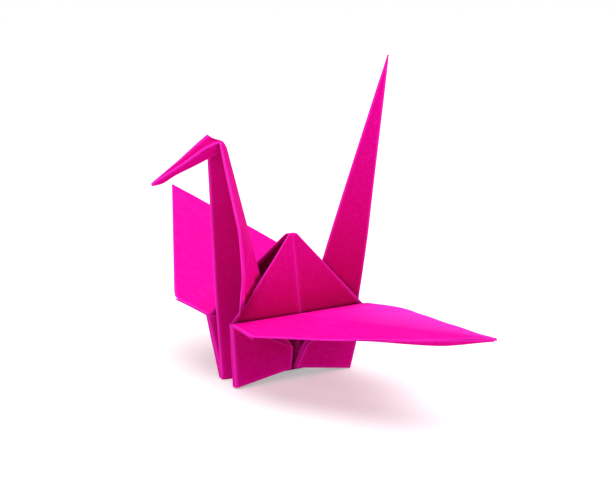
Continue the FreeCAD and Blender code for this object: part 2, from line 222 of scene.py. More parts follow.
def sheet(rows, folds=(), thick=PAPER, rims=(1, 1, 1, 1), bow=None, shade=0.0,
          soft=0.28, creases=(), painted_sheen=0.0):
    """Make one strip from rows, which are R x C x 3 points.

    folds: columns that are folds. creases: pairs of a column and how strong its light
    crease is. rims: how much the first column, last column, first row and last row are
    lightened. soft: how wide a fold is lightened, in mm; folds and rims are lightened
    partly by wear and partly by a painted highlight. painted_sheen: an even painted
    sheen. bow: push along the face, in mm. shade: how much painted shade it gets, for
    lying deep between layers. The last three can be R x C.
    """
    g = np.array(rows, float)
    R, C = g.shape[:2]
    du = np.gradient(g, axis=1)
    dv = np.gradient(g, axis=0)
    n = np.cross(du, dv)
    n /= np.maximum(np.linalg.norm(n, axis=2, keepdims=True), 1e-9)
    if bow is not None:
        g = g + n * np.asarray(bow)[..., None]
    # distance to folds and rims, measured along rows and along columns
    su, sv = lengths_along(g, 1), lengths_along(g, 0)
    w = np.zeros((R, C))
    for c in folds:
        w = np.maximum(w, np.exp(-(np.abs(su - su[:, c:c + 1]) / soft) ** 2))
    for c, amount in creases:
        away = np.abs(su - su[:, c:c + 1])
        w = np.maximum(w, amount * np.exp(-(away / CREASE_WIDTH) ** 2))
    for amount, d in ((rims[0], su), (rims[1], su[:, -1:] - su), (rims[2], sv),
                      (rims[3], sv[-1:] - sv)):
        if amount:
            w = np.maximum(w, amount * np.exp(-(d / (soft * RIM_SHARE)) ** 2))
    w = np.maximum(w, painted_sheen)
    # painted shade that each point gets
    painted_shade = np.zeros((R, C)) + np.asarray(shade, float)
    verts, faces, worn_and_highlit, dark = [], [], [], []
    half = thick / 2
    for face_side in (1, -1):
        verts.append((g + n * half * face_side).reshape(-1, 3))
        worn_and_highlit.append(w.reshape(-1))
        dark.append(painted_shade.reshape(-1))
    ring = ([(0, c) for c in range(C)] + [(r, C - 1) for r in range(1, R)]
            + [(R - 1, c) for c in range(C - 2, -1, -1)]
            + [(r, 0) for r in range(R - 2, 0, -1)])
    idx = np.array([r * C + c for r, c in ring])
    flat = g.reshape(-1, 3)[idx]
    flat_n = n.reshape(-1, 3)[idx]
    along = np.roll(flat, -1, axis=0) - np.roll(flat, 1, axis=0)
    out = np.cross(along, flat_n)
    out /= np.maximum(np.linalg.norm(out, axis=1, keepdims=True), 1e-9)
    base = 2 * R * C
    M = len(idx)
    for h, o in RIM_ROWS:
        verts.append(flat + flat_n * half * h + out * half * o)
        worn_and_highlit.append(w.reshape(-1)[idx])
        dark.append(painted_shade.reshape(-1)[idx])
    r_, c_ = np.meshgrid(np.arange(R - 1), np.arange(C - 1), indexing="ij")
    a = (r_ * C + c_).reshape(-1)
    quads = np.stack([a, a + 1, a + C + 1, a + C], axis=1)
    faces.append(quads)
    faces.append(quads[:, ::-1] + R * C)
    nxt = np.roll(np.arange(M), -1)
    rim_loops = [base + k * M + np.arange(M) for k in range(len(RIM_ROWS))]
    loops = [idx] + rim_loops + [idx + R * C]
    for top, low in zip(loops[:-1], loops[1:]):
        faces.append(np.stack([top, low, low[nxt], top[nxt]], axis=1))
    sheets.append((np.concatenate(verts), np.concatenate(faces), np.concatenate(worn_and_highlit),
                   np.concatenate(dark)))
    return g


def spread(n, crowd=0.5):
    """n shares from 0 to 1 that crowd towards both ends."""
    t = np.linspace(0, 1, n)
    return (1 - crowd) * t + crowd * (0.5 - 0.5 * np.cos(math.pi * t))


# %% [markdown]
# ## Body: hump and gussets
#
# The hump is one closed ring of paper that comes to a blunt point. Going round it we
# cross the near face with its light centre crease, a sharp fold, the gusset that dives
# in to the spine and out again, the far face, and the other gusset. We build it as rows
# from the top down to the wing roots. The faces are puffed a little, as paper is once
# air is blown in.

# %% Hump and gussets
def along_edge(g):
    """Point on the near head-side edge: top of the hump to the wing root."""
    return mix(TOP, ROOT, g)


def hump_share(p):
    """How far down the hump a point lies: 0 at its top, 1 at the wing roots."""
    return (TOP[2] - p[2]) / (TOP[2] - ROOT[2])


NEAR_MIDDLE = vec(0, ROOT[1], ROOT[2])
# where the spine leaves the hump, as a share of the way to the crotch
SPINE_SHARE = 0.62
# in mm: how far the edges bow apart, and how far creases and faces are pushed out
NEAR_BOW, FAR_BOW = 0.4, 0.9
CREASE_OUT, PUFF = 0.6, 0.28
EDGE_TURN, CREASE_TURN, SPINE_TURN = 0.32, 0.35, 0.3
FACE_TURNS = [EDGE_TURN, CREASE_TURN, EDGE_TURN]
upper = []
for g in spread(34, 0.4) * 0.93 + 0.07:
    e = along_edge(g)
    ne, nw = e, flip(e, -1, 1) + vec(2 * TOP[0] * (1 - g), 0, 0)
    fe, fw = flip(ne, 1, -FAR_SPREAD), flip(nw, 1, -FAR_SPREAD)
    # the two head-side edges bow apart a little round the neck
    ne = ne + vec(NEAR_BOW * math.sin(math.pi * g), 0, 0)
    fe = fe - vec(FAR_BOW * math.sin(math.pi * g) ** 0.6, 0, 0)
    spine_h = CROTCH * g * SPINE_SHARE + TOP * (1 - g)
    spine_t = flip(CROTCH * g * SPINE_SHARE, -1, 1) + TOP * (1 - g)
    crease = mix(TOP, NEAR_MIDDLE, g) + vec(0, -CREASE_OUT * g, 0)
    crease_f = flip(crease, 1, -FAR_SPREAD)
    pts = [spine_h, ne, crease, nw, spine_t, fw, crease_f, fe, spine_h]
    ring_row, ring_folds = row(pts, FACE_TURNS + [SPINE_TURN] + FACE_TURNS, [9] * 8)
    upper.append(ring_row)
upper = np.array(upper)
# puff the two hump faces outwards between their edges
for r in range(upper.shape[0]):
    for c in range(upper.shape[1]):
        p = upper[r, c]
        g = hump_share(p)
        if abs(p[1]) > 0.55 * abs(ROOT[1]) * g:
            s = min(abs(p[0] - TOP[0] * (1 - g)) / (abs(ROOT[0]) * g), 1)
            push = PUFF * math.sin(math.pi * s) * min(g * 2.2, 1)
            upper[r, c, 1] += math.copysign(push, p[1])
crease_cols = [ring_folds[i] for i in (0, 2, 4, 6)]
run = lengths_along(upper, 1)
# painted shade on the hump: darkest at its foot, its tail half a little more, and the gussets
# most
shade = np.zeros(upper.shape[:2])
for c in range(upper.shape[1]):
    in_gusset = not (crease_cols[0] <= c <= crease_cols[1]
                     or crease_cols[2] <= c <= crease_cols[3])
    for r in range(upper.shape[0]):
        low = r / (upper.shape[0] - 1)
        tail_half = 0.07 if upper[r, c, 0] > TOP[0] * (1 - low) else 0.0
        shade[r, c] = 0.2 + tail_half + 0.5 * low ** 2 + 0.4 * max(0, low - 0.93) / 0.07
        if in_gusset:
            reach = min(abs(run[r, c] - run[r, k]) for k in crease_cols)
            shade[r, c] = min(0.95, 0.38 + reach / 2.5)
sheet(upper, folds=crease_cols, rims=(0, 0, 1, 0), shade=shade,
      creases=[(ring_folds[1], 0.4), (ring_folds[5], 0.4)])
# the blunt top: a small cap of paper pulled over the point
cap_ring = upper[0]
cap_mid = cap_ring.mean(axis=0) + vec(0, 0, 0.18)
cap = np.array([mix(cap_mid, cap_ring, k) - vec(0, 0, 0.16 * k * k)
                for k in (0.03, 0.4, 0.75, 1)])
sheet(cap, rims=(0, 0, 0, 0))
print("hump: %d rows of %d points" % upper.shape[:2])

# %% How deep a point lies in the pocket behind the hump
# how far the pocket's mouth moves in along x for each mm between its edges
POCKET_SLANT = 0.633


# the pocket's depth sets how much painted shade the neck and tail walls get
def pocket(p):
    """0 in the open, 1 inside the pocket between the two edges of the hump."""
    g = hump_share(p)
    if g < 0.02 or g > 1.05:
        return 0.0
    edge_x = abs(along_edge(g)[0])
    inside = (edge_x - abs(p[0])) - POCKET_SLANT * (abs(ROOT[1]) * g - abs(p[1]))
    reach = 1.25 + 1.8 * max(0, 0.7 - g)
    return min(max((inside + reach) / 0.4, 0), 1) * min(1, (1.05 - g) / 0.12)


def tuck(p):
    """Keep a point of the neck or tail between the two edges of the hump."""
    g = hump_share(p)
    if g < 0.02 or g > 1.25:
        return p
    edge_x = abs(along_edge(min(g, 1))[0])
    blend = min(max((edge_x - abs(p[0]) + 0.8) / 1.4, 0), 1) * min(1, (1.25 - g) / 0.2)
    limit = max(abs(ROOT[1]) * min(g, 1) - 0.35, 0.12)
    y = math.copysign(mix(abs(p[1]), min(abs(p[1]), limit), blend), p[1])
    return vec(p[0], y, p[2])


# %% [markdown]
# ## Body: the layers below the wing roots
#
# Below the roots the sheet lies in eight layers. The outer edges of the flat base are
# folded in over the front, so at each side edge the paper wraps round in nested half
# turns, and from the front two flaps meet at a slit. The outermost wraps run back to
# the spine as the lower part of the gusset. We make each wrap as its own sheet, a layer
# apart, so that the slit shows the raw edges one behind the other.

# %% Plates and flaps
# in mm: how much narrower each inner layer is, and how far below its crease a point lies
LAYER_STEP = 0.12
POINT_LOW = 0.85
# where the middle of the layers lies, and the gap between nested wraps
MIDDLE_OUT = 0.42
LAYER_GAP = 0.14
# painted shade of each nested wrap, the outermost first
LEVEL_SHADE = (0.0, 0.6, 0.3, 0.7)


def plate(side, x, drop, out=0.0):
    """Point on a front plate: x across, drop below the wing root, out outwards."""
    foot_mid = vec(0, FEET[side][1], FEET[side][2])
    root_mid = NEAR_MIDDLE if side > 0 else flip(NEAR_MIDDLE, 1, FAR_SPREAD)
    down = unit(foot_mid - root_mid)
    normal = np.cross(vec(1, 0, 0), down)
    if normal[1] > 0:
        normal = -normal
    p = root_mid + vec(x, 0, 0) + down * drop + normal * out
    return flip(p, 1, side)


def flap_inner(share, sx, level):
    """Inner boundary of a flap: from the wing root down the 22.5 degree edge to its
    point, then down the slit. The two lower layers follow the 45 degree edge instead."""
    if sx < 0:
        peak_x = foot_x = 1.95 - LAYER_STEP * level
    else:
        peak_x, foot_x = 1.75 - 0.34 * level, -0.45 - 0.22 * level
    peak_drop = POINT_DROP * (1 - peak_x / ROOT_X) + POINT_LOW
    start_x = ROOT_X if level < 2 else POINT_DROP
    if share < 0.5:
        k = share / 0.5
        return start_x * (1 - k) + peak_x * k, peak_drop * k
    k = (share - 0.5) / 0.5
    slit_drop = peak_drop + (CROTCH_DROP - POINT_LOW - peak_drop) * k
    return peak_x + (foot_x - peak_x) * k, slit_drop


def edge_point(share):
    return ROOT_X + (FOOT_X - ROOT_X) * share, FOOT_DROP * share


def wrap_rows(side, sx, level, inner_end):
    """Rows of a flap that wraps round the side edge and goes on to inner_end."""
    rows = []
    half_way = spread(12, 0.3) * 0.5
    for share in np.concatenate([half_way, 0.5 + half_way[1:]]):
        ix, idrop = flap_inner(share, sx, level)
        ex, edrop = edge_point(share)
        ex = ex - LAYER_STEP * level + (0.3 if sx < 0 and level == 0 else 0.12)
        if sx < 0 < side:
            ex = ex + 1.35 * share
        if ex - ix < 0.25:
            ix = ex - 0.25
        lift = 0.18 * math.sin(math.pi * share) * (1 - 0.3 * level)
        reach = 0.5 + 0.42 * share - LAYER_GAP * (1 + 0.6 * share) * level
        low = (-0.1 if side < 0 else 0.3 if sx < 0 else 0.05) * max(0, share * 4 - 3)
        pts = [plate(side, sx * ix, idrop, MIDDLE_OUT + reach + lift * 1.6),
               plate(side, sx * ex, edrop - low, MIDDLE_OUT + reach + 0.05),
               plate(side, sx * ex, edrop - low * 0.6, MIDDLE_OUT - reach)]
        pts.extend(inner_end(share))
        turns = [reach * 0.85] * 2 + [0.3] * (len(pts) - 4)
        counts = [16, 2] + [7] * (len(pts) - 3)
        points, marks = row(pts, turns, counts)
        rows.append(points)
    return np.array(rows), marks


for side in (1, -1):
    for sx in (-1, 1):
        crotch = CROTCH if sx < 0 else flip(CROTCH, -1, 1)

        def to_spine(share):
            return [mix(crotch * SPINE_SHARE, crotch, share) + vec(sx * 0.2, -side * 0.16, 0)]

        def to_plate(share):
            ex, edrop = edge_point(share)
            return [plate(side, sx * (ex - 5), min(edrop, CROTCH_DROP * share), 0.1)]

        for level, level_shade in enumerate(LEVEL_SHADE):
            end = to_plate if level else to_spine
            rows, marks = wrap_rows(side, sx, level, end)
            # painted shade, growing past the side edge where the flap runs in behind the slit
            columns = np.arange(rows.shape[1])
            past_edge = np.minimum((columns - marks[1]) / 4, 0.7)
            inner = np.where(columns > marks[1], past_edge, 0)
            # the layers under the wings stand in each other's shade, least at the foot
            fade = 1 - spread(len(rows))[:, None] ** 3
            under_wing = (0.37 if sx < 0 else 0.26) * fade
            sheet(rows, folds=marks[:2], rims=(1, 0, 0.8, 0.8), soft=0.45,
                  shade=np.maximum(inner + level_shade, under_wing))
    # three layers right across, with the raw-edge seam in the outer one, painted in deep
    # shade as they lie behind the slit
    for out, halves in ((0.0, False), (0.13, False), (0.27, True)):
        for x0, x1 in (((-1, -0.012), (0.012, 1)) if halves else ((-1, 1),)):
            rows = []
            for k in spread(16):
                drop = CROTCH_DROP * k
                wide = ROOT_X - 0.6 + (LEG * NARROW - ROOT_X) * k
                rows.append([plate(side, wide * (x0 + (x1 - x0) * u), drop, out)
                             for u in spread(22)])
            sheet(rows, rims=(1, 1, 0, 1), shade=0.93)
print("body layers:", len(sheets), "sheets so far")

# %% [markdown]
# ## Neck and tail
#
# Each is a leg of the base turned up between the layers: a long V of paper with its
# fold, the spine, towards the hump. Its two walls spread as they leave the body, widest
# near the head. Four layers lie in each wall: the outer pair folds round the open edge
# and returns inside, so we build an outer V and, inside it, the two returned flaps,
# standing a little off.

# %% Neck and tail
def leaning(angle, side_angle, sign):
    a, b = math.radians(angle), math.radians(side_angle)
    return vec(sign * math.sin(a) * math.cos(b), math.sin(b), math.cos(a) * math.cos(b))


def leg_frame(direction, sign):
    forward = vec(sign, 0, 0)
    forward = unit(forward - direction * forward.dot(direction))
    sideways = unit(np.cross(direction, forward))
    if sideways[1] > 0:
        sideways = -sideways
    return forward, sideways


NECK_WAY = leaning(17.0, -3.5, -1)
TAIL_WAY = leaning(19.0, -2.5, 1)
HEAD_LENGTH = 20.0
BASE_ANGLE = math.degrees(math.asin(NEAR_GAP_FOOT / math.hypot(FOOT_X, LEG - FOOT_Y)))
HEAD_CREASE = math.tan(math.radians(42))
EDGE_STATION = HEAD_LENGTH / (1 + NARROW * HEAD_CREASE)


def leg_row(start, way, sign, spine_at, edge_at, near_angle, far_angle):
    """Spine, near edge and far edge of a leg: distances are from its tip."""
    forward, sideways = leg_frame(way, sign)
    spine = start + way * (LEG - spine_at)
    wide = NARROW * edge_at
    base = start + way * (LEG - edge_at)
    a, b = math.radians(near_angle), math.radians(far_angle)
    near = base + forward * wide * math.cos(a) + sideways * wide * math.sin(a)
    far = base + forward * wide * math.cos(b) - sideways * wide * math.sin(b)
    return spine, near, far


def leg(start, way, sign, top_spine, top_edge, near_open, far_open, curl, bow, wider,
        base_shade, creases=()):
    """Outer V and inner flaps of a leg, from the crotch's crease to the top stations.

    near_open, far_open: how far each wall stands open. curl: how much the walls belly.
    bow: how far the leg bends. wider: how far the V is pushed open. base_shade: how
    much painted shade its foot gets. creases: as for a sheet.
    """
    foot_n = flip(FEET[1], -sign, 1)
    foot_f = flip(FEET[-1], -sign, -1)
    outer, inner_n, inner_f = [], [], []
    forward, sideways = leg_frame(way, sign)
    steps = spread(56, 0.25)
    for s in steps:
        spine_at = LEG + (top_spine - LEG) * s
        edge_at = FOOT_Y + (top_edge - FOOT_Y) * s
        angles = [np.interp(s, *zip(*table)) for table in (near_open, far_open)]
        spine, near, far = leg_row(start, way, sign, spine_at, edge_at, *angles)
        shift = vec(bow * math.sin(math.pi * s ** 0.7), 0, 0)
        puff = wider * min(1, s * 6, NARROW * edge_at * 0.5)
        spine = spine + shift - forward * puff * 0.6
        if sign < 0:
            # the neck's top corner is rounded, and its near edge ends a little lower
            spine = spine + forward * 0.5 * max(0, s - 0.975) / 0.025
            near = near - way * 0.7 * max(0, s - 0.9) / 0.1
        else:
            near = near + forward * 0.35 * math.exp(-((s - 0.2) / 0.13) ** 2)
        near = near + shift + forward * puff * 0.25
        far = far + shift + forward * puff * 0.25
        settle = max(0.0, 1 - s / 0.12)
        near = mix(near, foot_n + vec(0, 0.35, 0), settle)
        far = mix(far, foot_f - vec(0, 0.35, 0), settle)
        wide = max(NARROW * edge_at, 0.05)
        bulge = curl * wide * math.sin(math.pi * min(s * 1.15, 1))
        mid_n = mix(spine, near, 0.55) + sideways * bulge
        mid_f = mix(spine, far, 0.55) - sideways * bulge
        turns = [wide * 0.3, min(0.45, wide * 0.2), wide * 0.3]
        points, marks = row([near, mid_n, spine, mid_f, far], turns, [8, 12, 12, 8])
        points = np.array([tuck(p) for p in points])
        outer.append(points)
        # the returned flaps lie inside, from the open edge to near the spine
        for bank, edge, mid, hand in ((inner_n, near, mid_n, 1),
                                      (inner_f, far, mid_f, -1)):
            lift = min(0.3, wide * 0.12)
            inside = -sideways * hand
            near_edge = edge + inside * (PAPER * 2.2) - unit(edge - spine) * 0.06
            middle = mid + inside * (PAPER * 2.2 + lift) + forward * lift * 0.3
            near_spine = mix(spine, mid, 0.22) + inside * min(PAPER * 2.4, wide * 0.1)
            points_in, _ = row([near_edge, middle, near_spine], [wide * 0.25], [7, 7])
            bank.append([tuck(p) for p in points_in])
    mid_col = marks[1]
    # painted shade: dark where the wall runs into the pocket behind the hump, and darker
    # towards the foot
    shade = np.array([[max(0.96 * pocket(p), base_shade * (1 - s / 0.95)) for p in line]
                      for s, line in zip(steps, outer)])
    sheet(outer, folds=[mid_col], thick=PAPER * 2.2, rims=(1, 1, 0.6, 0.6), soft=0.3,
          shade=shade, creases=creases)
    # painted shade on the returned flaps inside the leg, deepest midway up
    hollow = np.interp(steps, [0, 0.15, 0.4, 0.7, 0.88, 1],
                       [0.05, 0.26, 0.44, 0.42, 0.3, 0.3])[:, None]
    sheet(inner_n, thick=PAPER * 2, rims=(1, 0.5, 0.3, 0), shade=hollow)
    sheet(inner_f, thick=PAPER * 2, rims=(1, 0.5, 0.3, 0), shade=hollow)
    return outer


# how far each wall stands open, in degrees, at shares of the way up
NECK_NEAR = [(0, BASE_ANGLE), (0.15, 12), (0.2, 18), (0.26, 25), (0.33, 30.5),
             (0.4, 36), (0.47, 42.5), (0.65, 51), (1, 50)]
NECK_FAR = [(0, BASE_ANGLE), (0.3, 20), (0.5, 32), (1, 37)]
TAIL_OPEN = [(0, BASE_ANGLE), (0.25, 12), (0.45, 27), (1, 28)]
# the tail stops this far from its true point, and starts this far above the crotch
TAIL_BLUNT, TAIL_LIFT = 0.6, 0.7
neck = leg(CROTCH, NECK_WAY, -1, HEAD_LENGTH - 1.6, EDGE_STATION - 0.3,
           NECK_NEAR, NECK_FAR, curl=0.07, bow=0.0, wider=0.45, base_shade=0.08,
           creases=[(3, 1.2)])
leg(flip(CROTCH, -1, 1) + vec(0, 0, TAIL_LIFT), TAIL_WAY, 1, TAIL_BLUNT, TAIL_BLUNT,
    TAIL_OPEN, TAIL_OPEN, curl=0.05, bow=-0.6, wider=0.4, base_shade=0.72)
print("neck top at", (neck[-1][len(neck[-1]) // 2] + HUMP_AT).round(1))

# %% [markdown]
# ## Head
#
# The head is the top of the neck pushed down between the neck's own walls. Its fold now
# runs along the bottom and it opens upwards. We loft its two walls from the slanted
# crease to the beak, with the walls hollowed slightly and the beak left a little blunt,
# as folded layers never reach a true point.

# %% Head
droop, turn = math.radians(18.0), math.radians(-5.0)
BEAK_WAY = vec(-math.cos(droop) * math.cos(turn), math.cos(droop) * math.sin(turn),
               -math.sin(droop))
head_start = CROTCH + NECK_WAY * (LEG - HEAD_LENGTH)
BEAK = head_start + BEAK_WAY * HEAD_LENGTH
_, head_near, head_far = leg_row(CROTCH, NECK_WAY, -1, EDGE_STATION, EDGE_STATION,
                                 near_angle=49, far_angle=40)
HEAD_ROWS = spread(30, 0.2)


def head_sheet(shrink, thick, edge_wear_and_light):
    """Both walls of the head; shrink draws an inner layer in towards its middle."""
    rows = []
    for s in HEAD_ROWS * 0.97:
        dent = 0.65 * math.exp(-((s - 0.84) / 0.12) ** 2)
        sag = 0.25 + 0.35 * math.sin(math.pi * s) + dent
        spine = mix(head_start, BEAK, s) - vec(0, 0, sag)
        high = vec(0, 0, 0.35 * math.cos(math.pi * min(s, 0.5)))
        near = mix(head_near, BEAK, s) + high - vec(0, 0, 0.7 * max(0, 1 - s / 0.2))
        far = mix(head_far, BEAK, s) + high + vec(0, 0, 0.25 * (1 - s))
        lean_in = vec(0, 0, -0.5 * math.sin(math.pi * s)) * 0.2
        swell = vec(0, 0.25, 0) * math.sin(math.pi * s)
        near_mid = mix(spine, near, 0.55) - swell + lean_in
        far_mid = mix(spine, far, 0.55) + swell + lean_in
        pts = [near, near_mid, spine, far_mid, far]
        if shrink:
            middle = (near + far) / 2
            pts = [mix(p, middle, shrink) for p in pts]
        wide = np.linalg.norm(near - spine)
        turns = [wide * 0.3, min(0.35, wide * 0.25), wide * 0.3]
        points, marks = row(pts, turns, [5, 5, 5, 5])
        rows.append(points)
    # painted shade: the near wall darkens at its base, where it tucks into the neck, and the
    # whole head is shaded a little
    base = np.exp(-(HEAD_ROWS[:, None] / 0.07) ** 2)
    across = np.exp(-((np.arange(len(rows[0])) - 4) / 3.0) ** 2)
    sheet(rows, folds=[marks[1]], thick=thick, rims=(edge_wear_and_light, edge_wear_and_light, 0, 1),
          shade=0.12 + 0.7 * base * across)


def crown():
    """The neck's top, where its walls turn over the slanted crease into the head."""
    top = neck[-1]
    spine, near, far = top[len(top) // 2], top[0], top[-1]
    rows = []
    for u in spread(10):
        a, b = mix(spine, near, u), mix(spine, far, u)
        dip = NECK_WAY * 0.3 * np.linalg.norm(a - b) * u
        rows.append([mix(a, b, v) - dip * math.sin(math.pi * v) ** 0.7
                     for v in spread(12)])
    sheet(rows[1:], rims=(1, 1, 0.5, 0), shade=0.0)


crown()
head_sheet(0.0, PAPER * 2.4, 1)
head_sheet(0.2, PAPER * 2.0, 0.7)
print("beak at", (BEAK + HUMP_AT).round(1))

# %% [markdown]
# ## Wings
#
# A wing is two layers: a smooth top with a centre crease, and below it two halves whose
# raw edges meet in a seam. At the root the paper bends out of the front plate in a
# tight round fold. The lower halves hang a little away from the top, and the corners
# folded in at the root stay as small triangles underneath.

# %% Wings
# half the seam between the lower halves, in mm
SEAM_HALF = 0.12


def wing_width(out, blunt):
    """Half width of a wing at a distance from its root, softened at its widest point
    and blunt at the tip."""
    rising = ROOT_X + (CORNER_X - ROOT_X) * out / CORNER_OUT
    falling = CORNER_X * (WING_LENGTH - out) / (WING_LENGTH - CORNER_OUT)
    k = 0.45
    return max(-k * math.log(math.exp(-rising / k) + math.exp(-falling / k)), blunt)


def make_wing(side, rise, lean, twist, sag, fall, blunt):
    """One wing. In degrees: how far it rises, leans to the tail and twists, and how its
    halves fall from the crease. In mm: its sag near the tip and half its blunt tip."""
    rise, lean, twist, fall = (math.radians(v) for v in (rise, lean, twist, fall))
    outward = vec(0, -side, 0)
    origin = flip(NEAR_MIDDLE, 1, 1 if side > 0 else -FAR_SPREAD) + outward * 0.25
    straight = outward * math.cos(rise) + vec(0, 0, math.sin(rise))
    across = vec(1, 0, 0)
    normal = np.cross(straight, across)
    if normal[2] < 0:
        normal = -normal
    along = straight + across * math.tan(lean)

    def point(x, out, under=0.0):
        share = max(0.0, min(1.0, out / CORNER_OUT))
        tilt, slope = twist * share, math.tan(fall) * share
        rest = max(0.0, (out - CORNER_OUT) / (WING_LENGTH - CORNER_OUT))
        dip = sag * math.sin(math.pi * min(1.0, rest) ** 1.5)
        sideways = across * math.cos(tilt) + normal * math.sin(tilt)
        up = normal * math.cos(tilt) - across * math.sin(tilt)
        soft = math.sqrt(x * x + 0.3) - math.sqrt(0.3)
        p = origin + along * out + sideways * x - up * (soft * slope + dip + under)
        p = p + up * (0.3 * max(x, 0) / ROOT_X * math.exp(-((out - 7) / 7) ** 2))
        if side > 0 and x > 0:
            p = p + across * (0.3 * x / ROOT_X * math.exp(-(out / 3) ** 2))
        if side > 0 and x < 0:
            # the front corner of the near wing sits higher and closer in
            k = -x / ROOT_X * min(max(out, 0) / CORNER_OUT, 1)
            k = k * math.exp(-(max(out - CORNER_OUT, 0) / 14) ** 2)
            p = p + up * (0.6 * k) - along * (1.2 * k)
        if out < 0.8:
            # the root fold: the paper turns down into the plate
            k = (0.8 - out) / 0.8
            if out >= 0:
                p = p - vec(0, 0, 0.3 * k * k) + outward * 0.1 * k * k
            else:
                p = plate(side, x, -out, 0.35 + under)
        return p

    outs = np.concatenate([[-2.4, -1.6, -0.9, -0.4, 0.0, 0.25, 0.5, 0.8],
                           0.8 + spread(52, 0.25)[1:] * (WING_LENGTH - 1.15)])
    half = spread(15, 0.6)
    us = np.concatenate([-half[::-1], half[1:]])
    top = [[point(u * wing_width(max(o, 0), blunt), o) for u in us] for o in outs]
    wave = [[0.05 * math.sin(o * 0.35 + u * 2.1) * min(o / 20, 1) if o > 0 else 0
             for u in us] for o in outs]
    # painted sheen: the rear half of the near wing is paler towards its edge, as if it caught
    # light from behind
    sheen_mask = [[max(0, u) ** 0.8 * min(max(o, 0) / 6, 1) for u in us] for o in outs]
    crease_wear_and_light, painted_sheen = (0.25, 0.8) if side > 0 else (0.08, 0.0)
    sheet(top, creases=[(len(half) - 1, crease_wear_and_light)], rims=(1, 1, 0, 1), bow=wave,
          painted_sheen=np.array(sheen_mask) * painted_sheen)
    # lower halves, hanging a little away between the folded edge and the seam
    for sx in (-1, 1):
        rows = []
        for o in outs[3:]:
            wide = wing_width(max(o, 0), blunt)
            off = o / WING_LENGTH - 0.8
            deepest, reach = 1.4 if sx < 0 else 0.8, 0.25 if off < 0 else 0.16
            belly = 0.06 + deepest * math.exp(-(off / reach) ** 2)
            line = []
            for u in spread(16, 0.5):
                x = sx * (SEAM_HALF + (wide - SEAM_HALF - 0.04) * u)
                hang = belly * math.sin(math.pi * u ** 1.6) if o > 0 else 0
                line.append(point(x, o, PLY + 0.02 + hang))
            rows.append(line)
        # painted shade on the lower halves, which hang under the top
        sheet(rows, rims=(1, 1, 0, 1), shade=0.14)
        # two layers of the folded-in corner, from the 45 degree edge to the side
        for level in (0, 1):
            rows = []
            for k in spread(18, 0.3):
                o = k * (CORNER_OUT - 0.4)
                inner = POINT_DROP + o + 0.3 * level
                outer_x = ROOT_X + o * NARROW - 0.05
                inner = min(inner, outer_x - 0.2)
                rows.append([point(sx * mix(inner, outer_x, u), o,
                                   2.3 * PLY + PLY * 1.4 * level + 0.25 * (1 - u))
                             for u in spread(12, 0.5)])
            sheet(rows, rims=(1, 1, 0.3, 1))


make_wing(1, rise=6.5, lean=5.0, twist=1.5, sag=0.1, fall=4.6, blunt=0.5)
make_wing(-1, rise=19.8, lean=2.9, twist=4.0, sag=0.0, fall=4.5, blunt=0.2)
print("sheets in all:", len(sheets))

# %% [markdown]
# ## One piece of paper
#
# All the sheets belong to the same square, so they become one mesh. We join the arrays
# by hand rather than with the join operator, because it is quicker and keeps the wear
# values.

# %% Join into one mesh
def join_sheets(name):
    verts, faces, worn_and_highlit, dark, start = [], [], [], [], 0
    for v, f, w, d in sheets:
        verts.append(v)
        faces.append(f + start)
        worn_and_highlit.append(w)
        dark.append(d)
        start += len(v)
    verts = (np.concatenate(verts) + HUMP_AT) / 1000.0
    low, high = (np.array(corner) for corner in cad_box)
    over = np.maximum(verts - high, low - verts).max(axis=0) * 1000
    print("paper past the solid's box, in mm:", over.round(2))
    inset = 0.00002
    verts = np.clip(verts, low + inset, high - inset)
    faces = np.concatenate(faces)
    mesh = bpy.data.meshes.new(name)
    mesh.from_pydata(verts.tolist(), [], faces.tolist())
    for label, values in (("wear_and_highlight", worn_and_highlit), ("shade", dark)):
        layer = mesh.attributes.new(label, "FLOAT", "POINT")
        layer.data.foreach_set("value", np.concatenate(values))
    mesh.shade_smooth()
    mesh.set_sharp_from_angle(angle=math.radians(50))
    mesh.validate()
    obj = bpy.data.objects.new(name, mesh)
    bpy.context.scene.collection.objects.link(obj)
    return obj


crane = join_sheets("folded_crane")
print("paper mesh: %d faces" % len(crane.data.polygons))

# %% [markdown]
# ## Dyed paper
#
# The paper is thin, matt and dyed a strong magenta on both faces. Up close it has short
# fibres and a faintly cloudy tone. Where it is folded the surface is stretched and
# polished, so folds and edges look lighter and pinker; that lightening is partly real
# wear and partly a painted highlight, and a painted sheen lightens the rear half of the
# near wing. Four noises give fibres, pulp, cloud and faint streaks. One attribute
# lightens the folds, and the shade attribute paints shade between layers and in
# hollows, darker and redder. A photograph of paper wrapped round the mesh would slide
# at the folds, so we keep to procedural nodes.

# %% Shader maths helper
class Sock:
    """A node socket that can be used in sums, such as 1 - mask * 0.5."""

    def __init__(self, tree, link):
        self.tree, self.link = tree, link

    def _math(self, how, *values):
        inputs = dict(enumerate(values))
        return self.tree.node("ShaderNodeMath", {"operation": how}, inputs)

    def __add__(self, other):
        return self._math("ADD", self, other)

    def __sub__(self, other):
        return self._math("SUBTRACT", self, other)

    def __rsub__(self, other):
        return self._math("SUBTRACT", other, self)

    def __mul__(self, other):
        return self._math("MULTIPLY", self, other)

    __radd__, __rmul__ = __add__, __mul__


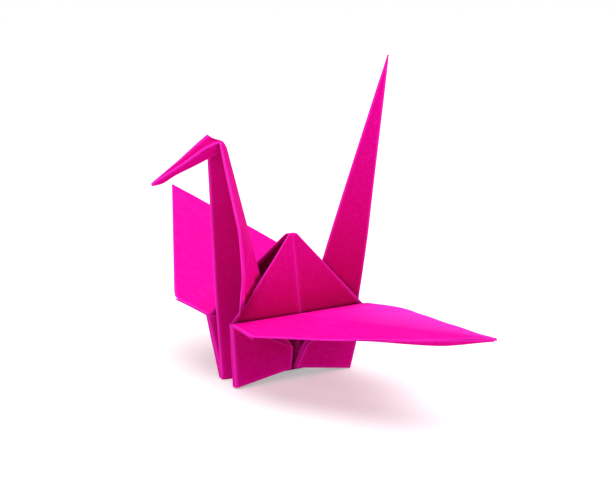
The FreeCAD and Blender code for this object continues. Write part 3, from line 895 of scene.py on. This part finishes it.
class Nodes:
    """The node tree of one material."""

    def __init__(self, material):
        material.use_nodes = True
        self.tree = material.node_tree
        self.tree.nodes.clear()

    def node(self, kind, settings=None, values=None, out=0):
        made = self.tree.nodes.new(kind)
        for key, value in (settings or {}).items():
            setattr(made, key, value)
        for key, value in (values or {}).items():
            if isinstance(value, Sock):
                self.tree.links.new(value.link, made.inputs[key])
            else:
                made.inputs[key].default_value = value
        return Sock(self, made.outputs[out]) if len(made.outputs) else None

    def mix(self, amount, a, b, how="MIX"):
        settings = {"data_type": "RGBA", "blend_type": how}
        return self.node("ShaderNodeMix", settings, {0: amount, 6: a, 7: b}, out=2)


# %% Magenta paper
DYE, DYE_PALE = (0.81, 0.0, 0.29, 1), (0.91, 0.0, 0.35, 1)
STREAK = (1.0, 0.015, 0.5, 1)
# painted shade: the redder tone of shaded points
HALF_SHADE = (0.86, 0.0, 0.20, 1)
PULP_SPECK = (0.55, 0.0, 0.14, 1)
# painted shade: the dark tone deep between layers
PAINTED_SHADE_DARK = (0.12, 0.0, 0.02, 1)
# partly real wear, partly painted highlight: the lighter pink of folds and edges
RUBBED_AND_HIGHLIT = (1.0, 0.022, 0.6, 1)


def magenta_paper():
    material = bpy.data.materials.new("magenta_paper")
    n = Nodes(material)
    place = n.node("ShaderNodeTexCoord", out=3)

    def noise(where, scale, detail=2.0, **more):
        values = {"Vector": where, "Scale": scale, "Detail": detail, **more}
        return n.node("ShaderNodeTexNoise", {}, values)

    fibres = noise(place, 2600.0, 3.0, Roughness=0.6)
    pulp = noise(place, 1700.0)
    cloud = noise(place, 70.0)
    # faint streaks that run along the wings, where fingers smoothed the paper
    stretched = n.node("ShaderNodeMapping", {},
                       {"Vector": place, "Scale": (900.0, 45.0, 900.0)})
    streaks = noise(stretched, 1.0)
    wear_and_highlight = n.node("ShaderNodeAttribute", {"attribute_name": "wear_and_highlight"}, out=2)
    shade = n.node("ShaderNodeAttribute", {"attribute_name": "shade"}, out=2)
    # folds and edges lighten, partly as real wear and partly as a painted highlight
    rubbed_and_highlit = wear_and_highlight * (0.55 + cloud * 0.5)
    dye = n.mix(cloud, DYE, DYE_PALE)
    dye = n.mix((streaks - 0.5) * 1.2, dye, STREAK)
    # painted shade: shaded points turn redder, then dark
    dye = n.mix((shade - 0.15) * 2.4, dye, HALF_SHADE)
    grain = n.mix((pulp - 0.38) * 1.3, dye, PULP_SPECK)
    painted_shade = n.mix(shade, grain, PAINTED_SHADE_DARK)
    # the painted highlight on folds stays bright inside painted shade
    colour = n.mix(rubbed_and_highlit * (1.0 - shade * 0.45), painted_shade, RUBBED_AND_HIGHLIT)
    height = fibres * 0.5 + pulp * 0.8
    bump = n.node("ShaderNodeBump", {},
                  {"Strength": 0.22, "Distance": 0.00004, "Height": height})
    rough = 0.74 - rubbed_and_highlit * 0.2 + (pulp - 0.5) * 0.1
    shader = n.node("ShaderNodeBsdfPrincipled", {}, {
        "Base Color": colour, "Roughness": rough, "Normal": bump,
        "Specular IOR Level": 0.03})
    n.node("ShaderNodeOutputMaterial", {}, {"Surface": shader})
    return material


crane.data.materials.append(magenta_paper())
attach(crane, "root")
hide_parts("folded_sheet")

# %% [markdown]
# ## Floor, light and camera
#
# A plain pale floor and a soft studio light: one broad lamp overhead, a weaker one on
# the head side and a very weak one on the tail side, each so wide that its shadow has
# no edge. A grey world fills in. The floor and the world glow white for the camera
# alone, so the background is pale while the paper keeps its own colour. The camera
# stands 300 mm off, a little above the hump, turned to the head side, with a lens of
# about 78 mm.

# %% Floor
PALE, BLACK, WHITE = (0.75, 0.75, 0.75, 1), (0, 0, 0, 1), (1, 1, 1, 1)
# half the floor's side, in metres
FLOOR_HALF = 3.0


def seen_by_camera(n):
    """1 for the camera's rays, in mirrors and through glass too, and 0 for the rest."""
    rays = [n.node("ShaderNodeLightPath", out=name) for name in
            ("Is Camera Ray", "Is Glossy Ray", "Is Transmission Ray")]
    return n.node("ShaderNodeMath", {"operation": "ADD", "use_clamp": True},
                  {0: rays[0], 1: rays[1] + rays[2]})


def plain_floor():
    mesh = bpy.data.meshes.new("floor")
    corners = [(x * FLOOR_HALF, y * FLOOR_HALF, 0)
               for x, y in ((-1, -1), (1, -1), (1, 1), (-1, 1))]
    mesh.from_pydata(corners, [], [(0, 1, 2, 3)])
    obj = bpy.data.objects.new("floor", mesh)
    bpy.context.scene.collection.objects.link(obj)
    material = bpy.data.materials.new("pale_floor")
    n = Nodes(material)
    shown = seen_by_camera(n)
    shader = n.node("ShaderNodeBsdfPrincipled", {}, {
        "Base Color": PALE, "Roughness": 0.9, "Specular IOR Level": 0.0,
        "Emission Color": n.mix(shown, BLACK, WHITE), "Emission Strength": 0.4})
    n.node("ShaderNodeOutputMaterial", {}, {"Surface": shader})
    mesh.materials.append(material)


plain_floor()


# %% Lights
def soft_lamp(name, from_way, spread_angle, strength):
    light = bpy.data.lights.new(name, "SUN")
    light.angle, light.energy = math.radians(spread_angle), strength
    obj = bpy.data.objects.new(name, light)
    bpy.context.scene.collection.objects.link(obj)
    obj.rotation_euler = Vector(from_way).to_track_quat("Z", "Y").to_euler()


soft_lamp("top_lamp", (0.12, -0.02, 1.0), spread_angle=80, strength=3.8)
soft_lamp("right_lamp", (0.45, -0.8, 0.3), spread_angle=40, strength=0.4)
soft_lamp("left_lamp", (-0.85, -0.42, 0.35), spread_angle=45, strength=1.3)
world = bpy.data.worlds.new("studio")
sky = Nodes(world)
# the grey fill that lights the paper, brought up to white for the camera
SKY_FILL = 0.08
strength = seen_by_camera(sky) * 0.92 + SKY_FILL
glow = sky.node("ShaderNodeBackground", {}, {"Color": WHITE, "Strength": strength})
sky.node("ShaderNodeOutputWorld", {}, {"Surface": glow})
bpy.context.scene.world = world
bpy.context.scene.view_settings.view_transform = "Standard"

# %% Camera
# how far the camera is turned, looks down and is rolled, in radians
AZIMUTH, HEIGHT, ROLL = 0.565, 0.190, -0.005
# in legs: how far off the camera stands, and how far beside the hump's top it aims
STAND_OFF, AIM_RIGHT, AIM_DOWN = 4.0, 0.057, 0.017
# how many pixels a leg covers there, and how many the picture is wide
LEG_PIXELS, PICTURE_PIXELS = 332.0, 612.0
SENSOR = 36.0
look = vec(math.sin(AZIMUTH) * math.cos(HEIGHT), math.cos(AZIMUTH) * math.cos(HEIGHT),
           -math.sin(HEIGHT))
right = vec(math.cos(AZIMUTH), -math.sin(AZIMUTH), 0)
up = np.cross(right, look)
target = HUMP_AT + right * AIM_RIGHT * LEG - up * AIM_DOWN * LEG
right, up = (right * math.cos(ROLL) + up * math.sin(ROLL),
             up * math.cos(ROLL) - right * math.sin(ROLL))
camera = bpy.data.objects.new("camera", bpy.data.cameras.new("camera"))
bpy.context.scene.collection.objects.link(camera)
place = Matrix((right, up, -look)).transposed().to_4x4()
place.translation = Vector((target - look * STAND_OFF * LEG) / 1000.0)
camera.matrix_world = place
camera.data.sensor_width = SENSOR
camera.data.lens = SENSOR * LEG_PIXELS * STAND_OFF / PICTURE_PIXELS
camera.data.clip_start = 0.01
bpy.context.scene.camera = camera
print("lens %.1f mm" % camera.data.lens)
